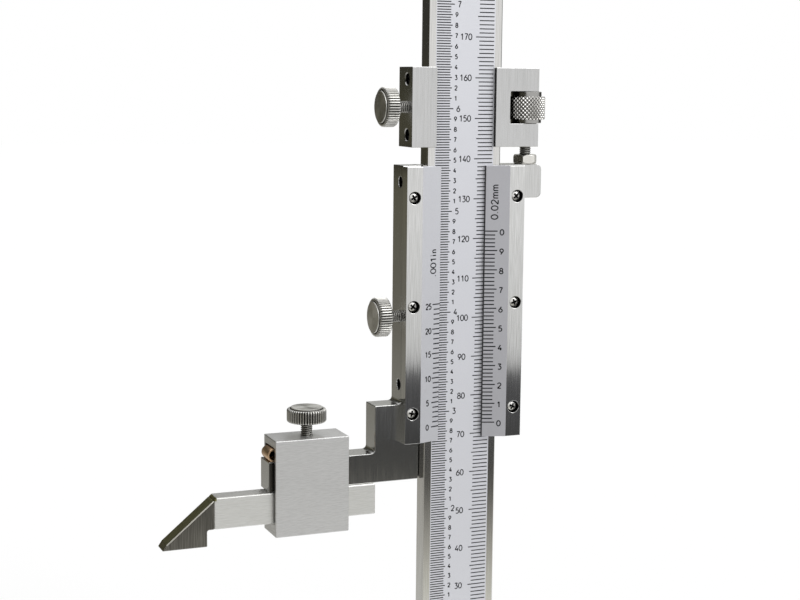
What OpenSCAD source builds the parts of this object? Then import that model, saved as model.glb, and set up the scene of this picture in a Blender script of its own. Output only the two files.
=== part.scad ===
// Vernier height gauge: a graduated beam on a foot, with a slider that carries a scriber on an arm
// and a fine-adjust carriage above it. X runs across the beam, Y away from its scale face, Z up.
// The origin is on the sole, under the middle of the scale face. Sizes are in millimetres.

/* [Reading] */
// Height of the scriber's measuring face above the surface the gauge stands on
reading = 72.9; // [0:0.1:300]
// Greatest height that can be measured
measuring_range = 300; // [150:1:600]

/* [Beam] */
// Width of the graduated beam
beam_w = 20.1; // [16.4:0.1:30]
// Thickness of the beam
beam_t = 4.3; // [3.5:0.05:8]
// Chamfer along the beam's long edges
beam_chamfer = 0.3; // [0.1:0.05:0.8]
// Beam left above the carriage at the top of the range
beam_spare = 10; // [7:0.5:40]

/* [Base] */
// Length of the foot, from its nose to its heel
base_l = 95; // [76:1:140]
// Width of the foot behind the nose
base_w = 72; // [58:1:110]
// Height of the foot
base_h = 20.5; // [16:0.5:30]
// Width of the nose that holds the beam
nose_w = 36; // [28:1:48]
// Length of the nose before the foot widens
nose_l = 34; // [27:1:42]
// Corner radius at the heel
heel_r = 8; // [3:0.5:14]
// Chamfer on the two corners of the nose
nose_chamfer = 2; // [0.5:0.5:4]
// Solid floor under the beam's lower end
beam_floor = 3; // [2:0.5:6]
// How far the beam's edge stands out of the nose
beam_overhang = 0.65; // [0.2:0.05:1]
// Radius of the finger coves along the sides
cove_r = 10; // [8:0.5:14]
// Depth of the finger coves
cove_depth = 3.5; // [1:0.5:5]
// Plain side left at each end of the finger coves
cove_end = 4.5; // [2:0.5:8]
// Width of the rim that the sole rests on
sole_rim = 10; // [6:0.5:14]
// Depth of the relief inside the sole's rim
sole_relief = 0.8; // [0.3:0.1:2]
// Shank diameter of the beam's clamp screws
beam_screw_d = 4; // [3:0.5:5]
// Head diameter of the beam's clamp screws
beam_screw_head_d = 6.8; // [5.4:0.1:8.5]
// Size across the flats of their sockets
beam_screw_socket = 3; // [2:0.5:4]
// How deep their heads sit below the foot's face
beam_screw_sink = 1; // [0.3:0.1:2]
// Foot left between the nose's chamfer and the first screw's head
beam_screw_margin = 0.2; // [0.1:0.1:1]
// Beam left between its right edge and the second screw's hole
beam_screw_wall = 1; // [0.6:0.1:2]

/* [Slider] */
// Height of the slider body
slider_h = 69.3; // [57:0.1:90]
// Wall left of the channel
left_wall = 4.8; // [4.2:0.05:8]
// Wall right of the channel
right_wall = 5.5; // [4.8:0.05:8]
// Wall behind the channel
back_wall = 2; // [1.6:0.05:4]
// Room for the gib between the left wall and the beam
gib_room = 1.55; // [1.4:0.05:2.4]
// Thickness of the gibs
gib_t = 1; // [0.8:0.05:1.2]
// Height of the ear that carries the fine-adjust rod
ear_h = 8.5; // [7:0.1:12]
// How far the ear stands out of the slider's right side
ear_l = 6; // [5:0.1:9]
// Corner radius of the ear
ear_r = 1.4; // [0.4:0.1:2.4]
// How far the clamp screw lies below the middle of the vernier plates
slider_clamp_drop = 2.75; // [2.6:0.05:5]
// Height of the lower gib screw above the slider's lower end
slider_gib_low = 14.5; // [11.5:0.1:20]
// Distance of the upper gib screw from the slider's upper end
slider_gib_high = 4.1; // [2.5:0.1:5]
// Depth of the slider's side screws behind the front of the slider
slider_screw_depth = 1.75; // [1.65:0.05:2.4]

/* [Vernier plates] */
// How far the plates stop short of the slider's upper end
plate_short = 0.2; // [0:0.05:0.5]
// Width of each plate
plate_w = 9.9; // [8.5:0.1:12]
// Width of the flat strip along the outer side
plate_flat_w = 4.15; // [3.6:0.05:5]
// Thickness of the plates
plate_t = 2.85; // [2.3:0.05:4]
// Thickness left at the bevel's edge
plate_edge_t = 0.85; // [0.5:0.05:1.2]
// Thread diameter of the plate screws
plate_screw_d = 1.6; // [1.4:0.1:2]
// Head diameter of the plate screws
plate_screw_head_d = 2.4; // [2:0.1:2.8]
// Head height of the plate screws
plate_screw_head_h = 0.95; // [0.7:0.05:1.3]
// Counterbore diameter
counterbore_d = 3.1; // [2.8:0.1:3.4]
// Counterbore depth
counterbore_depth = 1.45; // [1:0.05:1.8]
// Length of each arm of the cross in the plate screws' heads
plate_screw_cross = 1.5; // [1.2:0.1:1.8]
// Distance of the outer plate screws from the plates' ends
plate_screw_end = 7.6; // [7:0.1:9]
// Length of thread in the slider
plate_screw_l = 2.6; // [1.5:0.1:4]

/* [Arm] */
// Reach of the arm from the slider's left side
arm_reach = 34.6; // [29:0.1:50]
// Height of the arm
arm_h = 7.5; // [6:0.1:10]
// Width of the upright beside the slider
upright_w = 6.9; // [5:0.1:9]
// How far the upright reaches up beside the slider
upright_rise = 9.7; // [8:0.1:14]
// Fillet in the arm's inner corners
arm_fillet = 1; // [0.3:0.1:2]

/* [Scriber] */
// Height of the shank
shank_h = 7.75; // [6.4:0.05:9.4]
// Thickness of the scriber
scriber_t = 5; // [4:0.1:6]
// Length over all
scriber_l = 54.3; // [45:0.1:66]
// Height of the shank's underside above the measuring face
shank_rise = 4.1; // [3.4:0.1:5]
// How far the scriber's point stands out beyond the arm's end
scriber_overhang = 26.6; // [22:0.1:32]
// Length of the carbide tip
tip_l = 12.7; // [10.5:0.1:16]
// Length of the tip behind its measuring face
tip_root = 1.7; // [1.2:0.1:3]
// How far the tip's slope runs on over the shank
slope_past = 0.7; // [0.2:0.1:2]
// Length of the small steep facet at the point
point_l = 1; // [0.5:0.1:1.4]
// Height of the small steep facet at the point
point_h = 1.45; // [0.8:0.05:2]
// Fillet behind the measuring face
tip_fillet = 0.6; // [0.2:0.1:1]
// How far the scriber stands out in front of the arm
scriber_proud = 0.65; // [0:0.05:1]

/* [Scriber clamp] */
// Width of the box along the arm
box_w = 18.9; // [16:0.1:22]
// Front wall of the box
box_front = 0.9; // [0.6:0.05:1.5]
// Back wall of the box
box_back = 0.75; // [0.6:0.05:1.5]
// Lower wall of the box
box_floor = 3.2; // [2.6:0.1:3.9]
// Upper wall of the box
box_roof = 2; // [1.8:0.1:4]
// Room in front of the scriber inside the box
box_gap = 0.6; // [0.3:0.05:1]
// Room above the arm for the shoe
shoe_room = 3.55; // [3:0.05:4]
// How far the arm's end stands out of the box
arm_proud = 1.15; // [0.5:0.05:2]
// Thickness of the copper strip of the shoe
shoe_t = 0.5; // [0.4:0.05:0.7]
// Free room above the shoe while it is clamped
shoe_free = 0.3; // [0.28:0.01:0.9]
// Width of the shoe
shoe_w = 5.2; // [4:0.1:5.8]
// How far the shoe's fold stands out of the box
shoe_proud = 1.4; // [0.8:0.1:2.5]

/* [Clamp screws] */
// Diameter of the knurled heads
knob_d = 9.8; // [8:0.1:12]
// Length of the heads' knurled bands
knob_l = 3.3; // [2.6:0.1:4.5]
// Rounding of the heads' edges
knob_edge = 0.45; // [0.2:0.05:0.8]
// Height of the turned disc on the heads
knob_disc_h = 0.4; // [0.2:0.05:0.6]
// Width of the shoulder around the disc
knob_shoulder = 0.5; // [0.2:0.05:1]
// Thread diameter of the clamp screws
clamp_d = 2.9; // [2.5:0.1:3.2]
// Bare thread between a head and its piece
clamp_neck = 3.4; // [2.8:0.1:5]
// Chamfer at the tips of the clamp screws
clamp_tip = 0.5; // [0.2:0.1:0.8]
// Thread diameter of the gib screws
gib_screw_d = 2.6; // [2.5:0.1:3.2]
// How deep the gib screws sit in their holes
gib_screw_recess = 0.7; // [0.3:0.05:1]
// Width of the screwdriver slots
slot_w = 0.5; // [0.4:0.05:0.7]
// Depth of the screwdriver slots
slot_depth = 0.6; // [0.4:0.05:0.9]

/* [Fine adjustment] */
// Height of the carriage
carriage_h = 19.6; // [16:0.1:26]
// Thickness of the lips over the beam's edges
lip_t = 1.15; // [0.8:0.05:2]
// How far the lips reach over the beam
lip_reach = 2.05; // [1:0.05:2.4]
// Wall behind the beam in the carriage
carriage_back_wall = 2.9; // [2.2:0.05:4]
// Wall left of the carriage's channel
carriage_left_wall = 3.05; // [2.8:0.05:6]
// Carriage to the right of the rod's axis
carriage_right = 1.95; // [1.85:0.05:4]
// Gap between the slider and the carriage
carriage_gap = 4.45; // [4.2:0.05:7]
// Distance of the carriage's gib screws from its ends
carriage_gib_end = 3; // [2.2:0.1:4]
// Chamfer at the mouths of the carriage's gib screw holes
carriage_hole_chamfer = 0.3; // [0.1:0.05:0.5]
// Diameter of the threaded rod
rod_d = 2.9; // [2:0.1:3]
// Distance of the rod's axis from the slider's right side
rod_offset = 2.35; // [1.9:0.05:3]
// Solid ear under the rod's lower end
rod_floor = 1.7; // [1:0.1:3]
// Room for the rod's upper end above the window
rod_room = 3.5; // [2:0.1:4]
// Diameter of the knurled nut
nut_d = 9.8; // [9:0.1:11]
// Length of the nut's knurl
nut_knurl_l = 5.7; // [4.5:0.1:7]
// Diameter of the nut's plain collars
nut_collar_d = 7.8; // [6:0.1:8]
// Length of the upper collar
nut_upper_l = 1.25; // [0.8:0.05:1.6]
// Length of the lower collar
nut_lower_l = 0.95; // [0.6:0.05:1.4]
// Room between the nut and the left end of its window
window_gap = 1.1; // [0.6:0.1:1.5]
// Size of the lock nut across its flats
lock_nut_af = 5.5; // [4.5:0.1:6]
// Height of the lock nut
lock_nut_h = 2.4; // [1.6:0.1:2.4]

/* [Clearances] */
// Between sliding flat faces
slide_clear = 0.05; // [0.02:0.01:0.1]
// Around screws and rods in their holes, on the radius
thread_clear = 0.05; // [0.02:0.01:0.1]
// Between faces that a clamp holds together
clamp_clear = 0.03; // [0.01:0.01:0.05]
// Between the foot and the slider at a reading of zero
base_clear = 1.2; // [0.5:0.1:3]

/* [Hidden] */
$fn = 48;
// Cuts run this far past the faces they open
cut = 1;

steel = [0.78, 0.78, 0.77];
dark_steel = [0.55, 0.55, 0.53];
satin_chrome = [0.85, 0.85, 0.87];
carbide = [0.3, 0.29, 0.25];
copper = [0.6, 0.42, 0.3];

// Heights are counted from the scriber's measuring face; the slider's pieces are lifted by the reading
shank_z = shank_rise;
arm_z = shank_z + shank_h + clamp_clear;
arm_top = arm_z + arm_h;
slider_z = base_h + base_clear;
slider_top = slider_z + slider_h;
plate_h = slider_h - plate_short;
plate_mid = slider_z + plate_h / 2;
carriage_z = slider_top + carriage_gap;
carriage_mid = carriage_z + carriage_h / 2;
carriage_top = carriage_z + carriage_h;
beam_top = measuring_range + carriage_top + beam_spare;

// Channel and sides of the slider
channel_l = -beam_w / 2 - gib_room;
channel_r = beam_w / 2 + slide_clear;
channel_y = beam_t + slide_clear;
slider_l = channel_l - left_wall;
slider_r = channel_r + right_wall;
slider_front = -slide_clear;
slider_back = channel_y + back_wall;
slider_screw_y = slider_front + slider_screw_depth;
slider_clamp_z = plate_mid - slider_clamp_drop;
slider_gib_screw_z = [slider_z + slider_gib_low, slider_top - slider_gib_high];
plate_screw_pitch = plate_h / 2 - plate_screw_end;
ear_z = slider_top - ear_h;
plate_front = slider_front - plate_t;

// Arm, scriber and box
arm_end = slider_l - arm_reach;
upright_l = slider_l - upright_w;
upright_top = slider_z + upright_rise;
point_x = arm_end - scriber_overhang;
tail_x = point_x + scriber_l;
tip_joint = point_x + tip_l;
slope_x = tip_joint + slope_past;
face_end = tip_joint - tip_root;
shank_top = shank_z + shank_h;
slope_rate = (shank_top - point_h) / (tip_l + slope_past - point_l);
joint_z = point_h + (tip_l - point_l) * slope_rate;
scriber_front = slider_front - scriber_proud;
scriber_back = scriber_front + scriber_t;
box_l = arm_end + arm_proud;
box_r = box_l + box_w;
box_mid = (box_l + box_r) / 2;
box_hollow_front = scriber_front - box_gap;
box_hollow_back = slider_back + slide_clear;
box_y0 = box_hollow_front - box_front;
box_y1 = box_hollow_back + box_back;
box_hollow_z = shank_z - clamp_clear;
box_hollow_top = arm_top + shoe_room;
box_z = box_hollow_z - box_floor;
box_top = box_hollow_top + box_roof;
box_screw_y = (box_y0 + box_y1) / 2;
shoe_z = arm_top + clamp_clear;
shoe_h = shoe_room - clamp_clear - shoe_free;
shoe_top = shoe_z + shoe_h;

// Fine adjustment
rod_x = slider_r + rod_offset;
rod_y = beam_t / 2;
nut_l = nut_lower_l + nut_knurl_l + nut_upper_l;
window_h = nut_l + 2 * slide_clear;
window_z = carriage_mid - window_h / 2;
window_top = window_z + window_h;
window_l = rod_x - nut_d / 2 - window_gap;
nut_z = window_z + slide_clear;
carriage_l = channel_l - carriage_left_wall;
carriage_r = rod_x + carriage_right;
carriage_front = slider_front - lip_t;
carriage_back = channel_y + carriage_back_wall;
lip_edge = beam_w / 2 - lip_reach;
rod_start = ear_z + rod_floor;
rod_end = window_top + slide_clear;
carriage_gib_screw_z = [carriage_z + carriage_gib_end, carriage_top - carriage_gib_end];

// Gibs
gib_r = -beam_w / 2 - clamp_clear;
gib_l = gib_r - gib_t;
gib_screw_tip = channel_l + slide_clear;

// Foot
foot_y = beam_t / 2;
foot_l = -beam_w / 2 + beam_overhang;
foot_r = foot_l + base_l;
shoulder_x = foot_l + nose_l;
flare_x = shoulder_x + (base_w - nose_w) / 2;
cheek_front = foot_y - nose_w / 2;
beam_screw_hole = beam_screw_d + 2 * thread_clear;
beam_screw_sunk = beam_screw_head_d + 4 * thread_clear;
beam_screw_head_h = beam_screw_d;
beam_screw_z = (beam_floor + base_h) / 2;
beam_screw_seat = cheek_front + beam_screw_sink + beam_screw_head_h;
beam_screw_x = [
    foot_l + nose_chamfer + beam_screw_margin + beam_screw_sunk / 2,
    beam_w / 2 - beam_screw_wall - beam_screw_hole / 2
];

// A block between two opposite corners
module block(low, high) {
    translate(low)
        cube(high - low);
}

// An outline in X and Z carried along Y
module across(y0, y1) {
    translate([0, y1, 0])
        rotate([90, 0, 0])
            linear_extrude(y1 - y0)
                children();
}

// A round bar along X
module bar_x(d, x0, x1, y, z) {
    translate([x0, y, z])
        rotate([0, 90, 0])
            cylinder(d = d, h = x1 - x0);
}

// A round bar along Y
module bar_y(d, y0, y1, x, z) {
    translate([x, y0, z])
        rotate([-90, 0, 0])
            cylinder(d = d, h = y1 - y0);
}

// The material left in an inner corner of radius r, with the corner at the origin and half of r
// buried in both walls
module corner_fillet(r) {
    difference() {
        translate([-r / 2, -r / 2])
            square(1.5 * r);
        translate([r, r])
            circle(r);
    }
}

// A rectangle with four round corners, from its low corner
module round_rectangle(size, r) {
    translate([r, 0])
        square([size[0] - 2 * r, size[1]]);
    translate([0, r])
        square([size[0], size[1] - 2 * r]);
    for (x = [r, size[0] - r], y = [r, size[1] - r])
        translate([x, y])
            circle(r);
}

module lifted() {
    translate([0, 0, reading])
        children();
}

module foot_outline() {
    nose = nose_w / 2;
    heel = base_w / 2;
    translate([0, foot_y]) {
        polygon([
            [foot_l, -nose + nose_chamfer], [foot_l + nose_chamfer, -nose],
            [shoulder_x, -nose], [flare_x, -heel],
            [flare_x + heel_r, -heel], [flare_x + heel_r, heel],
            [flare_x, heel], [shoulder_x, nose],
            [foot_l + nose_chamfer, nose], [foot_l, nose - nose_chamfer]
        ]);
        translate([flare_x, -heel])
            round_rectangle([foot_r - flare_x, base_w], heel_r);
    }
}

module base() {
    side = base_w / 2;
    color(steel)
        difference() {
            linear_extrude(base_h)
                foot_outline();
            block([foot_l - cut, 0, beam_floor],
                [beam_w / 2 + slide_clear, beam_t + slide_clear, base_h + cut]);
            for (end = [-1, 1])
                bar_x(2 * cove_r, flare_x + cove_end, foot_r - cove_end,
                    foot_y + end * (side + cove_r - cove_depth), base_h / 2);
            block([flare_x, foot_y - side + sole_rim, -cut],
                [foot_r - sole_rim, foot_y + side - sole_rim, sole_relief]);
            for (x = beam_screw_x) {
                bar_y(beam_screw_hole, cheek_front, cut, x, beam_screw_z);
                bar_y(beam_screw_sunk, cheek_front - cut, beam_screw_seat, x, beam_screw_z);
            }
        }
}

module beam() {
    half = beam_w / 2;
    c = beam_chamfer;
    color(satin_chrome)
        difference() {
            translate([0, 0, beam_floor])
                linear_extrude(beam_top - beam_floor)
                    polygon([
                        [-half + c, 0], [half - c, 0], [half, c], [half, beam_t - c],
                        [half - c, beam_t], [-half + c, beam_t], [-half, beam_t - c], [-half, c]
                    ]);
            for (x = beam_screw_x)
                bar_y(beam_screw_hole, -cut, beam_t + cut, x, beam_screw_z);
        }
}

module beam_clamp_screws() {
    head = beam_screw_seat - beam_screw_head_h;
    socket_d = beam_screw_socket / cos(30);
    color(dark_steel)
        for (x = beam_screw_x)
            difference() {
                union() {
                    bar_y(beam_screw_d, beam_screw_seat, beam_t - slide_clear, x, beam_screw_z);
                    bar_y(beam_screw_head_d, head, beam_screw_seat, x, beam_screw_z);
                }
                translate([x, head - cut, beam_screw_z])
                    rotate([-90, 0, 0])
                        cylinder(d = socket_d, h = cut + beam_screw_head_h / 2, $fn = 6);
            }
}

// The arm, its upright and the slider's foot, seen from the front
module arm_outline() {
    polygon([
        [arm_end, arm_z], [channel_l, arm_z], [channel_l, upright_top],
        [upright_l, upright_top], [upright_l, arm_top], [arm_end, arm_top]
    ]);
    translate([upright_l, arm_top])
        mirror([1, 0])
            corner_fillet(arm_fillet);
    translate([slider_l, upright_top])
        mirror([1, 0])
            corner_fillet(arm_fillet);
}

// The ear with its two round corners, seen from the front
module ear_outline() {
    translate([slider_r - ear_r, ear_z])
        round_rectangle([ear_l + ear_r, ear_h], ear_r);
    translate([slider_r - ear_r, ear_z])
        square([2 * ear_r, ear_h]);
}

module plate_screw_places() {
    for (x = [slider_l + plate_flat_w / 2, slider_r - plate_flat_w / 2], step = [-1, 0, 1])
        translate([x, 0, plate_mid + step * plate_screw_pitch])
            children();
}

module slider_body() {
    color(steel)
        lifted()
            difference() {
                union() {
                    block([slider_l, slider_front, slider_z], [slider_r, slider_back, slider_top]);
                    across(slider_front, slider_back) {
                        arm_outline();
                        ear_outline();
                    }
                }
                block([channel_l, slider_front - cut, slider_z - cut],
                    [channel_r, channel_y, slider_top + cut]);
                for (z = slider_gib_screw_z)
                    bar_x(gib_screw_d + 2 * thread_clear, slider_l - cut, channel_l + cut,
                        slider_screw_y, z);
                bar_x(clamp_d + 2 * thread_clear, slider_l - cut, channel_l + cut,
                    slider_screw_y, slider_clamp_z);
                plate_screw_places()
                    bar_y(plate_screw_d + 2 * thread_clear, slider_front - cut,
                        slider_front + plate_screw_l + thread_clear, 0, 0);
                translate([rod_x, rod_y, rod_start])
                    cylinder(d = rod_d + 2 * thread_clear, h = slider_top + cut - rod_start);
            }
}

// Section of a vernier plate: flat along its outer side, bevelled down to an edge over the beam
module plate_section(outer, inward) {
    polygon([
        [outer, slider_front], [outer, plate_front],
        [outer + inward * plate_flat_w, plate_front],
        [outer + inward * plate_w, slider_front - plate_edge_t],
        [outer + inward * plate_w, slider_front]
    ]);
}

module vernier_plate(outer, inward) {
    lifted()
        difference() {
            translate([0, 0, slider_z])
                linear_extrude(plate_h)
                    plate_section(outer, inward);
            plate_screw_places() {
                bar_y(plate_screw_d + 2 * thread_clear, plate_front - cut, slider_front + cut, 0, 0);
                bar_y(counterbore_d, plate_front - cut, plate_front + counterbore_depth, 0, 0);
            }
        }
}

module inch_vernier_plate() {
    color(satin_chrome)
        vernier_plate(slider_l, 1);
}

module mm_vernier_plate() {
    color(satin_chrome)
        vernier_plate(slider_r, -1);
}

module vernier_plate_screws() {
    seat = plate_front + counterbore_depth;
    head = seat - plate_screw_head_h;
    recess = plate_screw_head_h / 2;
    arm = plate_screw_cross / 2;
    color(dark_steel)
        lifted()
            plate_screw_places()
                difference() {
                    union() {
                        bar_y(plate_screw_d, seat, slider_front + plate_screw_l, 0, 0);
                        bar_y(plate_screw_head_d, head, seat, 0, 0);
                    }
                    for (turn = [0, 90])
                        rotate([0, 45 + turn, 0])
                            block([-arm, head - cut, -slot_w / 2], [arm, head + recess, slot_w / 2]);
                }
}

module gib(z0, z1) {
    block([gib_l, slide_clear, z0 + slide_clear], [gib_r, beam_t - slide_clear, z1 - slide_clear]);
}

// A slotted set screw along X, from its slotted end to its tip
module set_screw(x0, x1, y, z) {
    difference() {
        bar_x(gib_screw_d, x0, x1, y, z);
        block([x0 - cut, y - gib_screw_d, z - slot_w / 2],
            [x0 + slot_depth, y + gib_screw_d, z + slot_w / 2]);
    }
}

module slider_gib() {
    color(dark_steel)
        lifted()
            gib(arm_z, slider_top);
}

module slider_gib_screws() {
    color(dark_steel)
        lifted()
            for (z = slider_gib_screw_z)
                set_screw(slider_l + gib_screw_recess, gib_screw_tip, slider_screw_y, z);
}

// A clamp screw along Z: its thread enters the piece at z = 0 and ends at z = reach
module clamp_screw(reach) {
    r = knob_d / 2;
    t = clamp_d / 2;
    disc = r - knob_edge - knob_shoulder;
    outer = -clamp_neck - knob_l;
    rotate_extrude()
        polygon([
            [0, outer - knob_disc_h], [disc, outer - knob_disc_h], [disc, outer],
            [r - knob_edge, outer], [r, outer + knob_edge],
            [r, -clamp_neck - knob_edge], [r - knob_edge, -clamp_neck],
            [t, -clamp_neck], [t, reach - clamp_tip], [t - clamp_tip, reach], [0, reach]
        ]);
}

module slider_clamp_screw() {
    color(dark_steel)
        lifted()
            translate([slider_l, slider_screw_y, slider_clamp_z])
                rotate([0, 90, 0])
                    clamp_screw(gib_l - clamp_clear - slider_l);
}

module carriage_body() {
    color(steel)
        lifted()
            difference() {
                block([carriage_l, carriage_front, carriage_z], [carriage_r, carriage_back, carriage_top]);
                block([channel_l, slider_front, carriage_z - cut],
                    [channel_r, channel_y, carriage_top + cut]);
                block([-lip_edge, carriage_front - cut, carriage_z - cut],
                    [lip_edge, channel_y, carriage_top + cut]);
                block([window_l, carriage_front - cut, window_z],
                    [carriage_r + cut, carriage_back + cut, window_top]);
                translate([rod_x, rod_y, carriage_z - cut])
                    cylinder(d = rod_d + 2 * thread_clear, h = window_top + rod_room + cut - carriage_z);
                for (z = carriage_gib_screw_z) {
                    bar_x(gib_screw_d + 2 * thread_clear, carriage_l - cut, channel_l + cut, rod_y, z);
                    translate([carriage_l - cut, rod_y, z])
                        rotate([0, 90, 0])
                            cylinder(r1 = gib_screw_d / 2 + thread_clear + carriage_hole_chamfer + cut,
                                r2 = gib_screw_d / 2 + thread_clear, h = carriage_hole_chamfer + cut);
                }
                bar_x(clamp_d + 2 * thread_clear, carriage_l - cut, channel_l + cut, rod_y, carriage_mid);
            }
}

module carriage_gib() {
    color(dark_steel)
        lifted()
            gib(carriage_z, carriage_top);
}

module carriage_gib_screws() {
    color(dark_steel)
        lifted()
            for (z = carriage_gib_screw_z)
                set_screw(carriage_l + gib_screw_recess, gib_screw_tip, rod_y, z);
}

module carriage_clamp_screw() {
    color(dark_steel)
        lifted()
            translate([carriage_l, rod_y, carriage_mid])
                rotate([0, 90, 0])
                    clamp_screw(gib_l - clamp_clear - carriage_l);
}

module fine_adjust_nut() {
    r = nut_d / 2;
    collar = nut_collar_d / 2;
    bore = rod_d / 2 + thread_clear;
    knurl_z = nut_lower_l;
    knurl_top = knurl_z + nut_knurl_l;
    color(dark_steel)
        lifted()
            translate([rod_x, rod_y, nut_z])
                rotate_extrude()
                    polygon([
                        [bore, 0], [collar, 0], [collar, knurl_z], [r - knob_edge, knurl_z],
                        [r, knurl_z + knob_edge], [r, knurl_top - knob_edge], [r - knob_edge, knurl_top],
                        [collar, knurl_top], [collar, nut_l], [bore, nut_l]
                    ]);
}

module fine_adjust_rod() {
    color(dark_steel)
        lifted()
            translate([rod_x, rod_y, rod_start])
                cylinder(d = rod_d, h = rod_end - rod_start);
}

module rod_lock_nut() {
    across_corners = lock_nut_af / cos(30);
    // Chamfer that rounds the nut's corners at both faces
    face = lock_nut_af / 2 - 0.1;
    outer = across_corners / 2 + 0.1;
    bite = outer - face;
    // Turn of the nut as it was tightened
    turn = -5;
    color(dark_steel)
        lifted()
            translate([rod_x, rod_y, slider_top])
                difference() {
                    intersection() {
                        rotate([0, 0, turn])
                            cylinder(d = across_corners, h = lock_nut_h, $fn = 6);
                        rotate_extrude()
                            polygon([
                                [0, 0], [face, 0], [outer, bite],
                                [outer, lock_nut_h - bite],
                                [face, lock_nut_h], [0, lock_nut_h]
                            ]);
                    }
                    translate([0, 0, -cut])
                        cylinder(d = rod_d + 2 * thread_clear, h = lock_nut_h + 2 * cut);
                }
}

module scriber_clamp_box() {
    color(steel)
        lifted()
            difference() {
                block([box_l, box_y0, box_z], [box_r, box_y1, box_top]);
                block([box_l - cut, box_hollow_front, box_hollow_z],
                    [box_r + cut, box_hollow_back, box_hollow_top]);
                translate([box_mid, box_screw_y, box_hollow_top - cut])
                    cylinder(d = clamp_d + 2 * thread_clear, h = box_roof + 2 * cut);
            }
}

// The folded strip from the front: two leaves joined by a round fold
module shoe_outline() {
    r = shoe_h / 2;
    fold_x = box_l - shoe_proud + r;
    end_x = box_r - arm_proud;
    difference() {
        union() {
            translate([fold_x, shoe_z])
                square([end_x - fold_x, shoe_h]);
            translate([fold_x, shoe_z + r])
                circle(r);
        }
        translate([fold_x, shoe_z + shoe_t])
            square([end_x - fold_x + cut, shoe_h - 2 * shoe_t]);
        translate([fold_x, shoe_z + r])
            circle(r - shoe_t);
    }
}

module clamp_shoe() {
    color(copper)
        lifted()
            across(box_screw_y - shoe_w / 2, box_screw_y + shoe_w / 2)
                shoe_outline();
}

module scriber_clamp_screw() {
    color(dark_steel)
        lifted()
            translate([box_mid, box_screw_y, box_top])
                rotate([180, 0, 0])
                    clamp_screw(box_top - shoe_top - clamp_clear);
}

module scriber_shank() {
    color(steel)
        lifted()
            across(scriber_front, scriber_back)
                polygon([
                    [tail_x, shank_z], [tip_joint, shank_z], [tip_joint, joint_z],
                    [slope_x, shank_top], [tail_x, shank_top]
                ]);
}

module scriber_tip() {
    color(carbide)
        lifted()
            union() {
                across(scriber_front, scriber_back)
                    polygon([
                        [face_end, 0], [point_x, 0], [point_x + point_l, point_h],
                        [tip_joint, joint_z], [tip_joint, shank_z], [face_end, shank_z]
                    ]);
                across(scriber_front, scriber_back)
                    translate([face_end, shank_z])
                        mirror([0, 1])
                            corner_fillet(tip_fillet);
            }
}

base();
beam();
beam_clamp_screws();
slider_body();
inch_vernier_plate();
mm_vernier_plate();
vernier_plate_screws();
slider_gib();
slider_gib_screws();
slider_clamp_screw();
carriage_body();
carriage_gib();
carriage_gib_screws();
carriage_clamp_screw();
fine_adjust_nut();
fine_adjust_rod();
rod_lock_nut();
scriber_clamp_box();
clamp_shoe();
scriber_clamp_screw();
scriber_shank();
scriber_tip();
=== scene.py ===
import math

import bmesh
import bpy
import numpy as np
from mathutils import Matrix, Vector


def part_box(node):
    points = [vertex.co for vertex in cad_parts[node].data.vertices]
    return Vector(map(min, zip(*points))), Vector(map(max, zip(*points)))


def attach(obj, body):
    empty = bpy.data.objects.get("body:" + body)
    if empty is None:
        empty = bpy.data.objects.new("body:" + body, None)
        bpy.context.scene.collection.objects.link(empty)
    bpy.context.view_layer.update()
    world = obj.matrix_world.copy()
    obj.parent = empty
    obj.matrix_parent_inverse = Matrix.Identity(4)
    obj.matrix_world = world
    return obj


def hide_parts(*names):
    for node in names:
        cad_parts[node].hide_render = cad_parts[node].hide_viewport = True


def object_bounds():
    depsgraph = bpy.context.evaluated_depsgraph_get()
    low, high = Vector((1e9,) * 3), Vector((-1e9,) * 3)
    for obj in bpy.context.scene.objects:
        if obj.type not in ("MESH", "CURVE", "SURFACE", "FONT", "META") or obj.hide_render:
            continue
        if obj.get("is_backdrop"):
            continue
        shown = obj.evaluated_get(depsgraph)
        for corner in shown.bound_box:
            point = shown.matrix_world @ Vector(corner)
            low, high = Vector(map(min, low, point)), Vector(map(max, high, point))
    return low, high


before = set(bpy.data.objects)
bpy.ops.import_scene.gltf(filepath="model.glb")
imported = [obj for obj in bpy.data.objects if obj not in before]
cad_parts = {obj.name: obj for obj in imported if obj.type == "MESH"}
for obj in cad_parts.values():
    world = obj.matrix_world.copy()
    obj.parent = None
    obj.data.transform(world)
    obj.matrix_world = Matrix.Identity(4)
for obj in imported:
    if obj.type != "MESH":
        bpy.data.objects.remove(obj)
cad_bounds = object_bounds()


# Foot: a surface-ground steel block that stands on the surface plate, slotted at its nose for the
# beam. Grinding leaves fine straight lines along it and a soft grey shine.
MM = 0.001


def linear(code):
    """Linear colour of an sRGB hex code: c / 12.92 when dark, else ((c + 0.055) / 1.055) ** 2.4."""
    c = np.array([int(code[i:i + 2], 16) for i in (1, 3, 5)]) / 255
    return (*np.where(c <= 0.04045, c / 12.92, ((c + 0.055) / 1.055) ** 2.4), 1.0)


def add(tree, kind, settings=None, inputs=None):
    """Adds a shader node. A socket given for an input is linked, and a hex code or value is set on it."""
    made = tree.nodes.new("ShaderNode" + kind)
    for key, value in (settings or {}).items():
        setattr(made, key, value)
    for key, value in (inputs or {}).items():
        if isinstance(value, bpy.types.NodeSocket):
            tree.links.new(value, made.inputs[key])
        else:
            made.inputs[key].default_value = linear(value) if isinstance(value, str) else value
    return made


def empty_material(name):
    """A material with an empty node tree, and that tree."""
    made = bpy.data.materials.new(name)
    made.use_nodes = True
    made.node_tree.nodes.clear()
    return made, made.node_tree


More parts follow.
